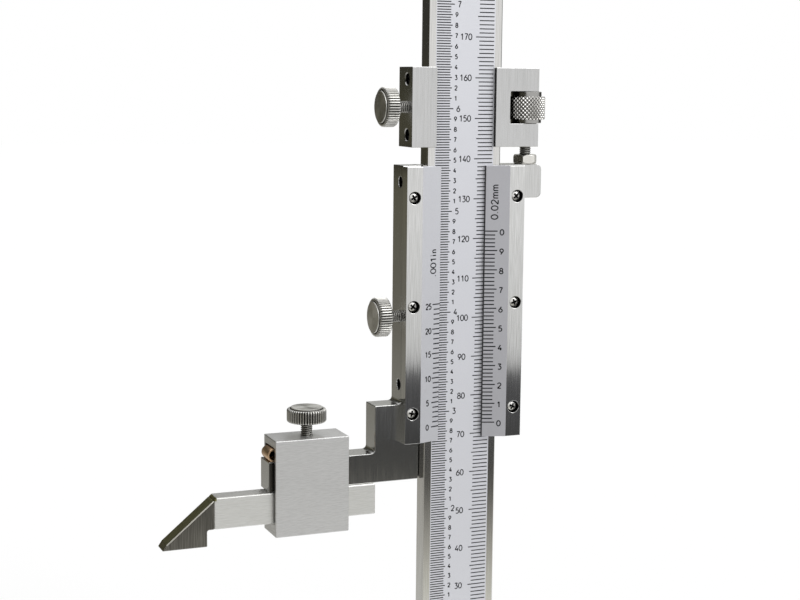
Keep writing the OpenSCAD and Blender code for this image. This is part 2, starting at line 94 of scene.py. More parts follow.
def grain(tree, run, width, stretch=40):
    """Noise drawn out into straight lines, from 0 to 1: upright for a run of Z, else level.

    Where a face lies flat they run along X. Real scratches are about 0.02 mm wide: width, in
    millimetres, is drawn coarser so that they show."""
    flat_from, faint, full = 0.8, 0.28, 0.72
    place = add(tree, "TexCoord").outputs["Object"]
    fine = 1 / (width * MM)
    values = []
    for along in ("Z" if run == "Z" else "XY", "X"):
        scale = [fine / stretch if axis in along else fine for axis in "XYZ"]
        drawn = add(tree, "Mapping", {}, {"Vector": place, "Scale": scale})
        noise = add(tree, "TexNoise", {}, {"Vector": drawn.outputs[0], "Scale": 1.0, "Detail": 2.0})
        values.append(noise.outputs[0])
    normal = add(tree, "SeparateXYZ", {}, {0: add(tree, "NewGeometry").outputs["Normal"]})
    flat = add(tree, "Math", {"operation": "ABSOLUTE"}, {0: normal.outputs[2]})
    lies = add(tree, "Math", {"operation": "GREATER_THAN"}, {0: flat.outputs[0], 1: flat_from})
    mixed = add(tree, "Mix", {"data_type": "FLOAT"}, {0: lies.outputs[0], 2: values[0], 3: values[1]})
    return add(tree, "MapRange", {}, {0: mixed.outputs[0], 1: faint, 2: full}).outputs[0]


def across_grain(tree, run):
    """The direction across a grain that runs along one axis: the normal crossed with that axis.

    A slight skew keeps it from vanishing on the faces that the grain meets end on."""
    skew = (0.0, 0.001, 0.003)
    axis = [float(a == run) for a in "XYZ"]
    normal = add(tree, "NewGeometry").outputs["Normal"]
    crossed = add(tree, "VectorMath", {"operation": "CROSS_PRODUCT"}, {0: normal, 1: axis})
    return add(tree, "VectorMath", {}, {0: crossed.outputs[0], 1: skew}).outputs[0]


def leaning(tree, lines, run, lean):
    """The normal, leaning along the grain by up to half of lean, so that each scratch shines alone."""
    share = add(tree, "Math", {"operation": "SUBTRACT"}, {0: lines, 1: 0.5})
    share = add(tree, "Math", {"operation": "MULTIPLY"}, {0: share.outputs[0], 1: lean})
    aside = add(tree, "CombineXYZ", {}, {"XYZ".index(run): share.outputs[0]})
    normal = add(tree, "NewGeometry").outputs["Normal"]
    turned = add(tree, "VectorMath", {}, {0: normal, 1: aside.outputs[0]})
    return add(tree, "VectorMath", {"operation": "NORMALIZE"}, {0: turned.outputs[0]}).outputs[0]


def grained_steel(name, pale, dark, run, width, rough, spread, lean=0.0, stains_and_shade=(), stretch=40):
    """Bare steel whose straight grain, between two colours, draws each reflection out across itself.

    Stains and painted shade are pairs of a colour and the boxes that hold it."""
    cloud_size, cloud_share, relief_share, relief_depth = 9, 0.3, 0.06, 0.01
    made, tree = empty_material(name)
    lines = grain(tree, run, width, stretch)
    place = add(tree, "TexCoord").outputs["Object"]
    cloud = add(tree, "TexNoise", {}, {"Vector": place, "Scale": 1 / (cloud_size * MM), "Detail": 2.0})
    both = add(tree, "Mix", {"data_type": "FLOAT"},
               {0: cloud_share, 2: lines, 3: cloud.outputs[0]}).outputs[0]
    colour = add(tree, "Mix", {"data_type": "RGBA"}, {0: both, 6: dark, 7: pale}).outputs[2]
    for stain, boxes in stains_and_shade:
        colour = add(tree, "Mix", {"data_type": "RGBA"},
                     {0: inside(tree, boxes), 6: colour, 7: stain}).outputs[2]
    shine = add(tree, "MapRange", {}, {0: both, 3: rough[1], 4: rough[0]})
    relief = add(tree, "Bump", {}, {"Strength": relief_share, "Distance": relief_depth * MM,
                                    "Height": lines, "Normal": leaning(tree, lines, run, lean)})
    skin = add(tree, "BsdfPrincipled", {}, {
        "Base Color": colour, "Metallic": 1.0, "Roughness": shine.outputs[0], "Anisotropic": spread,
        "Normal": relief.outputs[0], "Tangent": across_grain(tree, run)})
    add(tree, "OutputMaterial", {}, {0: skin.outputs[0]})
    return made


def finish_node(name, surface, edge):
    """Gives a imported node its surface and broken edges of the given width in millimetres."""
    same_point, same_plane, sharp = 1e-6, math.radians(0.5), math.radians(32)
    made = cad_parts[name]
    made.material_slots[0].material = surface
    weld = made.modifiers.new("joined_facets", "WELD")
    weld.merge_threshold = same_point
    flats = made.modifiers.new("whole_flats", "DECIMATE")
    flats.decimate_type = "DISSOLVE"
    flats.angle_limit = same_plane
    bevel = made.modifiers.new("broken_edges", "BEVEL")
    bevel.width = edge * MM
    bevel.segments = 2
    bevel.limit_method = "ANGLE"
    bevel.angle_limit = sharp
    bevel.use_clamp_overlap = False


ground_steel = grained_steel("ground_steel", "#C4C3BF", "#9F9E9A", run="X", width=0.3,
                             rough=(0.22, 0.34), spread=0.4)
finish_node("base", ground_steel, edge=0.09)


# Beam: a hardened steel bar that stands in the foot's slot. Its scale face is chromed dull between two
# polished edge strips, so that the graduations read without glare.
SATIN_METAL = 0.45
SATIN_ROUGH = 0.5
SATIN_SPARKLE = 0.25


def within(tree, value, low, high):
    """1 where a value in metres lies between two limits in millimetres, else 0."""
    over = add(tree, "Math", {"operation": "GREATER_THAN"}, {0: value, 1: low * MM})
    under = add(tree, "Math", {"operation": "LESS_THAN"}, {0: value, 1: high * MM})
    both = add(tree, "Math", {"operation": "MULTIPLY"}, {0: over.outputs[0], 1: under.outputs[0]})
    return both.outputs[0]


def scale_chrome():
    """Satin chrome between the edge strips of the front face, polished steel everywhere else.

    The dull face sparkles in specks of about 0.05 mm, drawn coarser so that they show."""
    band_left, band_right, face_skin, polish = -7.95, 8.0, 0.02, 0.14
    made, tree = empty_material("satin_chrome_beam")
    lines = grain(tree, "Z", width=0.2)
    object_place = add(tree, "TexCoord").outputs["Object"]
    place = add(tree, "SeparateXYZ", {}, {0: object_place})
    across = within(tree, place.outputs[0], band_left, band_right)
    front = within(tree, place.outputs[1], -1, face_skin)
    scale = add(tree, "Math", {"operation": "MULTIPLY"}, {0: across, 1: front}).outputs[0]
    sparkle = add(tree, "TexNoise", {},
                  {"Vector": object_place, "Scale": 1 / (SATIN_SPARKLE * MM), "Detail": 2.0})
    bare = add(tree, "Mix", {"data_type": "RGBA"}, {0: lines, 6: "#C9C8C5", 7: "#DCDBD9"})
    dull = add(tree, "Mix", {"data_type": "RGBA"}, {0: sparkle.outputs[0], 6: "#D3D4DA", 7: "#DFE0E5"})
    colour = add(tree, "Mix", {"data_type": "RGBA"}, {0: scale, 6: bare.outputs[2], 7: dull.outputs[2]})
    rough = add(tree, "MapRange", {}, {0: scale, 3: polish, 4: SATIN_ROUGH})
    bright = add(tree, "MapRange", {}, {0: scale, 3: 1.0, 4: SATIN_METAL})
    skin = add(tree, "BsdfPrincipled", {}, {"Base Color": colour.outputs[2], "Roughness": rough.outputs[0],
                                            "Metallic": bright.outputs[0]})
    add(tree, "OutputMaterial", {}, {0: skin.outputs[0]})
    return made


finish_node("beam", scale_chrome(), edge=0.08)


# Graduations of the beam: cut by an engraving tool and filled with black enamel, in millimetres
# along the right edge and in fortieths of an inch along the left.
SCALE_ZERO = 25.4  # height of the zero lines above the sole
SCALE_TOP = 350
INCH = 25.4
MARK_RAISED = 0.012
MARK_SUNK = 0.05
DIGIT_WIDTH = 0.6  # for a height of 1


def bars(start, stop, heights, width):
    """Straight marks as boxes of one width: from start to stop across the face, one at each height."""
    start, stop, heights = np.broadcast_arrays(start, stop, heights)
    corner = np.array([(a, b, c) for a in (0, 1) for b in (0, 1) for c in (0, 1)])
    low = np.stack([start, np.full(len(heights), -MARK_SUNK), heights - width / 2], -1)
    high = np.stack([stop, np.full(len(heights), MARK_RAISED), heights + width / 2], -1)
    points = low[:, None] + corner * (high - low)[:, None]
    quads = np.array([(0, 1, 3, 2), (4, 6, 7, 5), (0, 4, 5, 1), (2, 3, 7, 6), (0, 2, 6, 4), (1, 5, 7, 3)])
    faces = quads + 8 * np.arange(len(heights))[:, None, None]
    return points.reshape(-1, 3), faces.reshape(-1, 4)


def arc(x, y, across, up, start, stop, count):
    """Points on an ellipse, from one angle in degrees to another."""
    turn = np.radians(np.linspace(start, stop, count))
    return np.stack([x + across * np.cos(turn), y + up * np.sin(turn)], -1)


def ring(x, y, across, up):
    """A closed ellipse of twelve points."""
    return arc(x, y, across, up, 0, 330, 12), True


def line(*points):
    """An open stroke through single points."""
    return np.array(points, float), False


def curve(*parts):
    """An open stroke along an arc and on through any further points."""
    return np.vstack(parts), False


def strokes(sign):
    """The engraver's strokes of one sign, in a cell of height 1, each with whether it is closed."""
    shapes = {
        "0": [ring(0.3, 0.5, 0.3, 0.5)],
        "1": [line((0.1, 0.74), (0.34, 1)), line((0.34, 1), (0.34, 0))],
        "2": [curve(arc(0.3, 0.71, 0.28, 0.29, 170, -25, 8), (0.03, 0)), line((0.03, 0), (0.58, 0))],
        "3": [line((0.04, 1), (0.54, 1)), line((0.54, 1), (0.26, 0.6)),
              curve(arc(0.26, 0.3, 0.3, 0.3, 95, -135, 9))],
        "4": [line((0.4, 1), (0, 0.28)), line((0, 0.28), (0.6, 0.28)), line((0.42, 0.55), (0.42, 0))],
        "5": [line((0.52, 1), (0.13, 1)), line((0.13, 1), (0.07, 0.54)),
              curve(arc(0.27, 0.32, 0.29, 0.32, 135, -140, 9))],
        "6": [line((0.44, 1), (0.07, 0.46)), ring(0.3, 0.3, 0.28, 0.3)],
        "7": [line((0.02, 1), (0.56, 1)), line((0.56, 1), (0.33, 0.5), (0.22, 0))],
        "8": [ring(0.3, 0.76, 0.22, 0.24), ring(0.3, 0.26, 0.29, 0.26)],
        "9": [ring(0.3, 0.7, 0.28, 0.3), line((0.53, 0.54), (0.16, 0))],
        ".": [line((0.1, 0), (0.1, 0.12))],
        "m": [line((0.05, 0.7), (0.05, 0)),
              curve(arc(0.23, 0.48, 0.18, 0.22, 180, 0, 5), (0.41, 0)),
              curve(arc(0.59, 0.48, 0.18, 0.22, 180, 0, 5), (0.77, 0))],
        "i": [line((0.08, 0.66), (0.08, 0)), line((0.08, 0.9), (0.08, 1))],
        "n": [line((0.05, 0.66), (0.05, 0)), curve(arc(0.22, 0.42, 0.17, 0.22, 180, 0, 5), (0.39, 0))],
    }
    return shapes[sign]


def ribbon(path, width, closed):
    """One stroke as a bar of even width: each point of the path gives two raised and two sunk corners."""
    count = len(path)
    ahead = np.roll(path, -1, 0) - np.roll(path, 1, 0) if closed else np.gradient(path, axis=0)
    ahead = ahead / np.linalg.norm(ahead, axis=1, keepdims=True)
    side = np.stack([-ahead[:, 1], ahead[:, 0]], -1) * width / 2
    edges = np.stack([path + side, path - side, path - side, path + side], 1)
    level = np.broadcast_to([MARK_RAISED, MARK_RAISED, -MARK_SUNK, -MARK_SUNK], (count, 4))
    points = np.stack([edges[..., 0], level, edges[..., 1]], -1).reshape(-1, 3)
    here = 4 * np.arange(count if closed else count - 1)[:, None] + np.arange(4)
    turn = 4 * (here // 4) + (here + 1) % 4
    faces = np.stack([here, turn, (turn + 4) % len(points), (here + 4) % len(points)], -1).reshape(-1, 4)
    if not closed:
        faces = np.vstack([faces, (0, 1, 2, 3), len(points) - np.array((1, 2, 3, 4))])
    return points, faces


def label(text, across, height, size, width, wide=1.0, step=0.75, upward=False):
    """A number or word centred on a point of the face, upright or turned to read upwards."""
    other_steps = {".": 0.4, "i": 0.4, "m": 1.0, "n": 0.7}
    steps = [other_steps.get(sign, step) for sign in text]
    starts = np.concatenate([[0], np.cumsum(steps)[:-1]])
    middle = (sum(steps) - step + DIGIT_WIDTH) / 2
    parts = []
    for sign, start in zip(text, starts):
        for path, closed in strokes(sign):
            flat = (path + (start - middle, -0.5)) * (size * wide, size)
            if upward:
                flat = np.stack([-flat[:, 1], flat[:, 0]], -1)
            parts.append(ribbon(flat + (across, height), width, closed))
    return parts


def joined(parts):
    """Several tuples of points, faces and any further rows of values as one tuple."""
    firsts = np.cumsum([0] + [len(part[0]) for part in parts])
    faces = [part[1] + first for part, first in zip(parts, firsts)]
    further = [np.concatenate(rows) for rows in list(zip(*parts))[2:]]
    return np.concatenate([part[0] for part in parts]), np.concatenate(faces), *further


def new_piece(name, shape, surface, body):
    """A mesh from points in mm, faces and, for turned shapes, corner UVs and wear with painted shade from 0 to
    1 at each point.

    Doubles are merged and faces turned outwards."""
    same_point, sharp = 1e-7, math.radians(35)
    points, faces, *turned = shape
    mesh = bpy.data.meshes.new(name)
    mesh.from_pydata((np.asarray(points) * MM).tolist(), [], faces.tolist())
    if turned:
        mesh.uv_layers.new(name="turned").data.foreach_set("uv", turned[0].astype(np.float32).ravel())
        mesh.attributes.new("wear_and_shade", "FLOAT", "POINT").data.foreach_set("value", turned[1].astype(np.float32))
    work = bmesh.new()
    work.from_mesh(mesh)
    bmesh.ops.remove_doubles(work, verts=work.verts, dist=same_point)
    bmesh.ops.recalc_face_normals(work, faces=work.faces)
    work.to_mesh(mesh)
    work.free()
    mesh.polygons.foreach_set("use_smooth", np.ones(len(mesh.polygons), bool))
    mesh.set_sharp_from_angle(angle=sharp)
    mesh.materials.append(surface)
    made = bpy.data.objects.new(name, mesh)
    bpy.context.scene.collection.objects.link(made)
    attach(made, body)
    return made


def black_enamel():
    """Enamel rubbed into the cuts: near black, matt, a little thin in patches."""
    patch = 1.5
    made, tree = empty_material("black_enamel")
    place = add(tree, "TexCoord").outputs["Object"]
    thin = add(tree, "TexNoise", {}, {"Vector": place, "Scale": 1 / (patch * MM), "Detail": 2.0})
    colour = add(tree, "Mix", {"data_type": "RGBA"}, {0: thin.outputs[0], 6: "#0E0E10", 7: "#26262A"})
    skin = add(tree, "BsdfPrincipled", {}, {"Base Color": colour.outputs[2], "Roughness": 0.7,
                                            "Specular IOR Level": 0.2})
    add(tree, "OutputMaterial", {}, {0: skin.outputs[0]})
    return made


def beam_marks():
    """Millimetre and inch lines with their figures, as boxes and strokes on the scale face.

    Every fifth and tenth millimetre and every fourth and fortieth step in inches has a longer line.
    A figure is given by its place across the face and its size."""
    width, mm_right, mm_left = 0.25, 7.7, {1: 3.68, 5: 3.23, 10: 2.75}
    inch_left, inch_right = -7.78, {1: -4.05, 4: -3.64, 40: -3.12}
    mm_figure, tenth_figure, inch_figure = (0.1, 1.45), (-2.5, 1.06), (-1.77, 1.42)
    step = np.arange(SCALE_TOP + 1)
    left = np.where(step % 10 == 0, mm_left[10], np.where(step % 5 == 0, mm_left[5], mm_left[1]))
    parts = [bars(left, mm_right, SCALE_ZERO + step, width)]
    fortieth = np.arange(int(SCALE_TOP / INCH * 40) + 1)
    right = np.where(fortieth % 40 == 0, inch_right[40],
                     np.where(fortieth % 4 == 0, inch_right[4], inch_right[1]))
    parts.append(bars(inch_left, right, SCALE_ZERO + fortieth * INCH / 40, width))
    for ten in range(10, SCALE_TOP + 1, 10):
        parts += label(str(ten), mm_figure[0], SCALE_ZERO + ten, mm_figure[1], width)
    for tenth in range(1, int(SCALE_TOP / INCH * 10) + 1):
        height = SCALE_ZERO + tenth * INCH / 10
        if tenth % 10:
            parts += label(str(tenth % 10), tenth_figure[0], height, tenth_figure[1], width)
        else:
            parts += label(str(tenth // 10), inch_figure[0], height, inch_figure[1], width)
    points, faces = joined(parts)
    return points * (1, -1, 1), faces


enamel = black_enamel()
new_piece("beam_graduations", beam_marks(), enamel, "stand")


# Beam screws: two blackened steel cap screws in the foot's cheek that pinch the beam in its slot.
# Blackening in hot oil leaves them near black, with a faint sheen.
def blackened_steel():
    """Heat-blackened steel: dark, with a faint oily shine and rubbed spots."""
    spot = 1.2
    made, tree = empty_material("blackened_steel")
    place = add(tree, "TexCoord").outputs["Object"]
    rubbed = add(tree, "TexNoise", {}, {"Vector": place, "Scale": 1 / (spot * MM), "Detail": 4.0})
    colour = add(tree, "Mix", {"data_type": "RGBA"}, {0: rubbed.outputs[0], 6: "#121213", 7: "#2A2A2B"})
    skin = add(tree, "BsdfPrincipled", {}, {"Base Color": colour.outputs[2], "Metallic": 0.5,
                                            "Roughness": 0.42, "Specular IOR Level": 0.3})
    add(tree, "OutputMaterial", {}, {0: skin.outputs[0]})
    return made


black_steel = blackened_steel()
finish_node("beam_clamp_screws", black_steel, edge=0.2)


# Slider body: milled from stainless steel in one piece with the scriber's arm and the ear for the
# fine-adjust rod, then brushed up and down, which smears reflections into soft bands. Its channel and
# its screw holes are painted dark as their shade.
# Painted shade: the near black painted on the slider's channel and screw holes, the carriage's window and lip
# edges and the inside of the clamp box, standing in for their shade.
HOLLOW_SHADE = "#1B1A18"
SHADE = "#7C7A76"


def corners(node):
    """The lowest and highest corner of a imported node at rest, in millimetres."""
    return np.array(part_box(node)) / MM


def inside(tree, boxes):
    """1 inside any of several boxes, each given by its lowest and highest corner in millimetres, else 0."""
    place = add(tree, "TexCoord").outputs["Object"]
    share = 0.0
    for low, high in boxes:
        middle, half = ((np.array(high) + low) / 2 * MM, (np.array(high) - low) / 2 * MM)
        away = add(tree, "VectorMath", {"operation": "SUBTRACT"}, {0: place, 1: middle})
        away = add(tree, "VectorMath", {"operation": "ABSOLUTE"}, {0: away.outputs[0]})
        away = add(tree, "VectorMath", {"operation": "DIVIDE"}, {0: away.outputs[0], 1: half})
        parts = add(tree, "SeparateXYZ", {}, {0: away.outputs[0]})
        most = add(tree, "Math", {"operation": "MAXIMUM"}, {0: parts.outputs[0], 1: parts.outputs[1]})
        most = add(tree, "Math", {"operation": "MAXIMUM"}, {0: most.outputs[0], 1: parts.outputs[2]})
        here = add(tree, "Math", {"operation": "LESS_THAN"}, {0: most.outputs[0], 1: 1.0})
        share = add(tree, "Math", {"operation": "MAXIMUM"}, {0: here.outputs[0], 1: share}).outputs[0]
    return share


def screw_holes(node):
    """Boxes around the two holes of a set of grub screws, from just under the surface to the tips."""
    low, high = corners(node)
    width, rim, room = high[1] - low[1], 0.5, 0.1
    return [((low[0] - rim, low[1] - room, z - room), (high[0], high[1] + room, z + width + room))
            for z in (low[2], high[2] - width)]


# The gib channel and the gib screw holes are painted dark as their shade.
channel_depth, channel_drop, channel_back, strip_skin, skin = 0.6, 12, 12, 0.04, 0.15
low, high = corners("slider_gib")
channel = [((low[0] - channel_depth, skin, low[2] - channel_drop),
            (low[0] + strip_skin, channel_back, high[2] + 1))]
# The front of the arm's end is toned as the shaded gap beside the clamp box.
arm_shade, arm_height = 2, 7.25
left, bottom = corners("slider_body")[0, [0, 2]]
arm_end = [((left + skin, -1, bottom - 1), (left + arm_shade, skin, bottom + arm_height))]
brushed_steel = grained_steel("brushed_stainless", "#D3D3D2", "#BDBDBB", run="Z", width=0.16,
                              rough=(0.17, 0.21), spread=0.9, lean=0.03,
                              stains_and_shade=[(HOLLOW_SHADE, channel + screw_holes("slider_gib_screws")),
                                      (SHADE, arm_end)])
finish_node("slider_body", brushed_steel, edge=0.16)


# Vernier plates: two bevelled steel strips screwed to the slider. The flat is brushed, and the bevel
# that comes down on the beam is chromed dull and graduated.
PLATE_FLAT = 4.15
SCREW_HEAD = 1.2


def plate_chrome(name, pale, dark):
    """Brushed steel on the flats and satin chrome on the bevels; the inner edges dull and partly painted
    shade, the screw seats painted dark as their shade.

    One drawing serves both plates: it goes by the distance from the middle between them."""
    edge_skin, seat_reach, polish, lean = 0.03, 1.57, 0.12, 0.006
    made, tree = empty_material(name)
    lines = grain(tree, "Z", width=0.16)
    left, right = corners("inch_vernier_plate"), corners("mm_vernier_plate")
    middle, half = (left[0, 0] + right[1, 0]) / 2, (right[1, 0] - left[0, 0]) / 2
    inner = (right[0, 0] - left[1, 0]) / 2
    screws = corners("vernier_plate_screws")
    pitch = (screws[1, 2] - screws[0, 2]) / 2 - SCREW_HEAD
    object_place = add(tree, "TexCoord").outputs["Object"]
    place = add(tree, "SeparateXYZ", {}, {0: object_place})
    away = add(tree, "Math", {"operation": "SUBTRACT"}, {0: place.outputs[0], 1: middle * MM})
    away = add(tree, "Math", {"operation": "ABSOLUTE"}, {0: away.outputs[0]}).outputs[0]
    sparkle = add(tree, "TexNoise", {},
                  {"Vector": object_place, "Scale": 1 / (SATIN_SPARKLE * MM), "Detail": 2.0})
    bare = add(tree, "Mix", {"data_type": "RGBA"}, {0: lines, 6: "#C2C2C0", 7: "#D8D8D7"})
    dull = add(tree, "Mix", {"data_type": "RGBA"}, {0: sparkle.outputs[0], 6: dark, 7: pale})
    bevel = within(tree, away, 0, half - PLATE_FLAT)
    colour = add(tree, "Mix", {"data_type": "RGBA"}, {0: bevel, 6: bare.outputs[2], 7: dull.outputs[2]})
    # The inner edges over the beam are dull and partly painted dark as the shade of the gap beside them.
    edge = within(tree, away, 0, inner + edge_skin)
    colour = add(tree, "Mix", {"data_type": "RGBA"}, {0: edge, 6: colour.outputs[2], 7: "#4E4E50"})
    # The seats around the screw heads are painted dark as their shade.
    up = add(tree, "Math", {"operation": "SUBTRACT"},
             {0: place.outputs[2], 1: (screws[0, 2] + SCREW_HEAD - pitch / 2) * MM})
    up = add(tree, "Math", {"operation": "PINGPONG"}, {0: up.outputs[0], 1: pitch / 2 * MM})
    up = add(tree, "Math", {"operation": "SUBTRACT"}, {0: up.outputs[0], 1: pitch / 2 * MM})
    aside = add(tree, "Math", {"operation": "SUBTRACT"}, {0: away, 1: (half - PLATE_FLAT / 2) * MM})
    spot = add(tree, "CombineXYZ", {}, {0: aside.outputs[0], 1: up.outputs[0]})
    reach = add(tree, "VectorMath", {"operation": "LENGTH"}, {0: spot.outputs[0]})
    seat_shade = within(tree, reach.outputs[1], -1, seat_reach)
    colour = add(tree, "Mix", {"data_type": "RGBA"}, {0: seat_shade, 6: colour.outputs[2], 7: "#1A1A19"})
    rough = add(tree, "MapRange", {}, {0: bevel, 3: polish, 4: SATIN_ROUGH})
    bright = add(tree, "MapRange", {}, {0: bevel, 3: 1.0, 4: SATIN_METAL})
    skin = add(tree, "BsdfPrincipled", {}, {
        "Base Color": colour.outputs[2], "Roughness": rough.outputs[0], "Anisotropic": 0.9,
        "Metallic": bright.outputs[0], "Normal": leaning(tree, lines, "Z", lean),
        "Tangent": across_grain(tree, "Z")})
    add(tree, "OutputMaterial", {}, {0: skin.outputs[0]})
    return made


# The mm plate is drawn greyer than the inch plate: painted shade for its bevel, which faces away from the
# lamp.
inch_chrome = plate_chrome("satin_chrome_inch_plate", "#DCDDE2", "#D0D1D6")
shaded_mm_chrome = plate_chrome("satin_chrome_mm_plate_painted_shade", "#CCCCD1", "#C2C2C7")
finish_node("inch_vernier_plate", inch_chrome, edge=0.09)
finish_node("mm_vernier_plate", shaded_mm_chrome, edge=0.09)


# Vernier lines: 49 mm in fifty parts on the right plate, and on the left twenty-five parts, each of two
# fortieths of an inch less a thousandth. They are engraved on the bevels and filled with the same enamel.
VERNIER_RISE = 3.7  # height of the zero lines above the foot of the plates
VERNIER_LINE = 0.29
PLATE_EDGE = 0.85


def on_bevel(node, inner, points):
    """Carries (along the slope, out of it, up) to the bevel of a plate, from the edge over the beam."""
    low, high = corners(node)
    edge = high[0] if inner > 0 else low[0]
    run = (high[0] - low[0]) - PLATE_FLAT
    drop = (high[1] - low[1]) - PLATE_EDGE
    slope = np.array([-inner * run, -drop, 0]) / math.hypot(run, drop)
    out = np.array([inner * drop, -run, 0]) / math.hypot(run, drop)
    start = np.array([edge, high[1] - PLATE_EDGE, low[2] + VERNIER_RISE])
    return start + points[:, :1] * slope + points[:, 1:2] * out + points[:, 2:] * (0, 0, 1)


def mm_vernier_marks():
    """Fifty divisions of 0.98 mm, every fifth longer and numbered, and the value of one division."""
    divisions, division, short, long = 50, 0.98, 2.56, 3.14
    figure, size, drop, word, word_size, word_height = 4.25, 1.38, 0.3, 2.3, 1.7, 56.3
    step = np.arange(divisions + 1)
    parts = [bars(0.0, np.where(step % 5, short, long), step * division, VERNIER_LINE)]
    for number in range(0, divisions + 1, 5):
        parts += label(str(number // 5 % 10), figure, number * division - drop, size, VERNIER_LINE,
                       wide=1.12)
    parts += label("0.02mm", word, word_height, word_size, VERNIER_LINE, wide=1.1, step=0.8, upward=True)
    points, faces = joined(parts)
    return on_bevel("mm_vernier_plate", -1, points), faces


def mirrored(parts):
    """The same strokes with left and right exchanged, for the plate whose bevel falls the other way."""
    return [(points * (-1, 1, 1), faces) for points, faces in parts]


def inch_vernier_marks():
    """Twenty-five divisions of 0.049 inch, every fifth longer and numbered, and their value."""
    divisions, division, short, long = 25, 0.049 * INCH, 2.03, 2.43
    figure, size, word, word_size, word_height = 3.75, 1.36, 2.35, 1.75, 41.6
    drops = (0, 0, 0.05, 0.1, 0.4, 0.45)
    step = np.arange(divisions + 1)
    parts = [bars(0.0, np.where(step % 5, short, long), step * division, VERNIER_LINE)]
    for number, drop in zip(range(0, divisions + 1, 5), drops):
        parts += mirrored(label(str(number), -figure, number * division - drop, size, VERNIER_LINE))
    parts += mirrored(label(".001in", -word, word_height, word_size, VERNIER_LINE, wide=1.1, upward=True))
    points, faces = joined(parts)
    return on_bevel("inch_vernier_plate", 1, points), faces


new_piece("mm_vernier_lines", mm_vernier_marks(), enamel, "slider")
new_piece("inch_vernier_lines", inch_vernier_marks(), enamel, "slider")


# Plate screws: six small turned steel screws with domed, cross-recessed heads. They hold the plates to
# the slider from seats sunk in the flats, and no two heads stop at the same angle.
def turned_steel(name, pale, dark, groove, rough, spread=0.0):
    """Lathe-turned steel whose shine follows the rings, bright on worn crests and painted dark as shade in
    knurls, threads and recesses.
    """
    stain_size, faint, full = 1.6, 0.3, 0.7
    made, tree = empty_material(name)
    place = add(tree, "TexCoord").outputs["Object"]
    stain = add(tree, "TexNoise", {}, {"Vector": place, "Scale": 1 / (stain_size * MM), "Detail": 3.0})
    colour = add(tree, "Mix", {"data_type": "RGBA"}, {0: stain.outputs[0], 6: dark, 7: pale}).outputs[2]
    shine = add(tree, "MapRange", {},
                {0: stain.outputs[0], 1: faint, 2: full, 3: rough[1], 4: rough[0]})
    inputs = {"Base Color": colour, "Metallic": 1.0, "Roughness": shine.outputs[0]}
    # groove is the colour painted into the hollows as their shade.
    if groove:
        wear_and_shade = add(tree, "Attribute", {"attribute_name": "wear_and_shade"}).outputs["Fac"]
        wear_and_shade = add(tree, "Mix", {"data_type": "RGBA"}, {0: wear_and_shade, 6: groove, 7: colour})
        around = add(tree, "Tangent", {"direction_type": "UV_MAP", "uv_map": "turned"})
        inputs.update({"Base Color": wear_and_shade.outputs[2], "Anisotropic": spread, "Tangent": around.outputs[0]})
    skin = add(tree, "BsdfPrincipled", {}, inputs)
    add(tree, "OutputMaterial", {}, {0: skin.outputs[0]})
    return made


def revolved(axial, radius, wear_and_shade, start=0.0):
    """A turned form about local Z: rows of axial place, radius and wear with painted shade, one column for
    each angle.
    """
    rows, columns = radius.shape
    angle = start + 2 * np.pi * np.arange(columns) / columns
    axial, wear_and_shade = (np.broadcast_to(v[:, None] if v.ndim == 1 else v, radius.shape) for v in (axial, wear_and_shade))
    points = np.stack([radius * np.cos(angle), radius * np.sin(angle), axial], -1)
    i, j = np.meshgrid(np.arange(rows - 1), np.arange(columns), indexing="ij")
    corner_rows = np.stack([i, i, i + 1, i + 1], -1)
    corner_columns = np.stack([j, j + 1, j + 1, j], -1)
    faces = (corner_rows * columns + corner_columns % columns).reshape(-1, 4)
    uvs = np.stack([corner_columns / columns, corner_rows / rows], -1).reshape(-1, 2)
    return points.reshape(-1, 3), faces, uvs, wear_and_shade.ravel()


def aimed(shape, origin, axis):
    """Turns a shape's local Z onto an axis of the frame and moves it to an origin."""
    z = np.array(axis, float)
    x = np.roll(z, 1)
    return np.array(origin) + shape[0] @ np.stack([x, np.cross(z, x), z]), *shape[1:]


def cross_head(length, turn):
    """A domed head over a plain shank: the top drops with the square of the radius and by the cross."""
    columns, dome, height, shank = 64, 0.28, 0.95, 0.8
    arm_half, arm_reach, soft, depth = 0.2, 0.8, 0.1, 0.5
    reach = np.concatenate([np.linspace(0, 0.98, 18), [1.0]]) * SCREW_HEAD
    angle = 2 * np.pi * np.arange(columns) / columns
    x, y = reach[:, None] * np.cos(angle), reach[:, None] * np.sin(angle)
    arms = [np.clip((arm_half - np.abs(a)) / soft + 0.5, 0, 1)
            * np.clip((arm_reach - np.abs(b)) / soft, 0, 1) for a, b in ((x, y), (y, x))]
    recess = np.maximum(*arms)
    top = dome * (np.hypot(x, y) / SCREW_HEAD) ** 2 + depth * recess
    below = np.array([(height, SCREW_HEAD), (height, shank), (length, shank), (length, 0)])
    plain = np.ones((len(below), columns))
    axial = np.vstack([top, below[:, :1] * plain])
    radius = np.vstack([np.hypot(x, y), below[:, 1:] * plain])
    # The cross recess is painted dark as its shade.
    return revolved(axial, radius, np.vstack([1 - recess, plain]), math.radians(turn))


screw_steel = turned_steel("turned_screw_steel", "#F2F1EE", "#DCDBD7", groove="#161615", rough=(0.24, 0.34))
low, high = corners("vernier_plate_screws")
places = [(x, z) for x in (low[0] + SCREW_HEAD, high[0] - SCREW_HEAD)
          for z in np.linspace(low[2] + SCREW_HEAD, high[2] - SCREW_HEAD, 3)]
turns = (12, 38, 60, 25, 71, 47)
heads = [aimed(cross_head(high[1] - low[1], turn), (x, low[1], z), (0, 1, 0))
         for (x, z), turn in zip(places, turns)]
plate_screws = new_piece("cross_head_screws", joined(heads), screw_steel, "slider")
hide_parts("vernier_plate_screws")


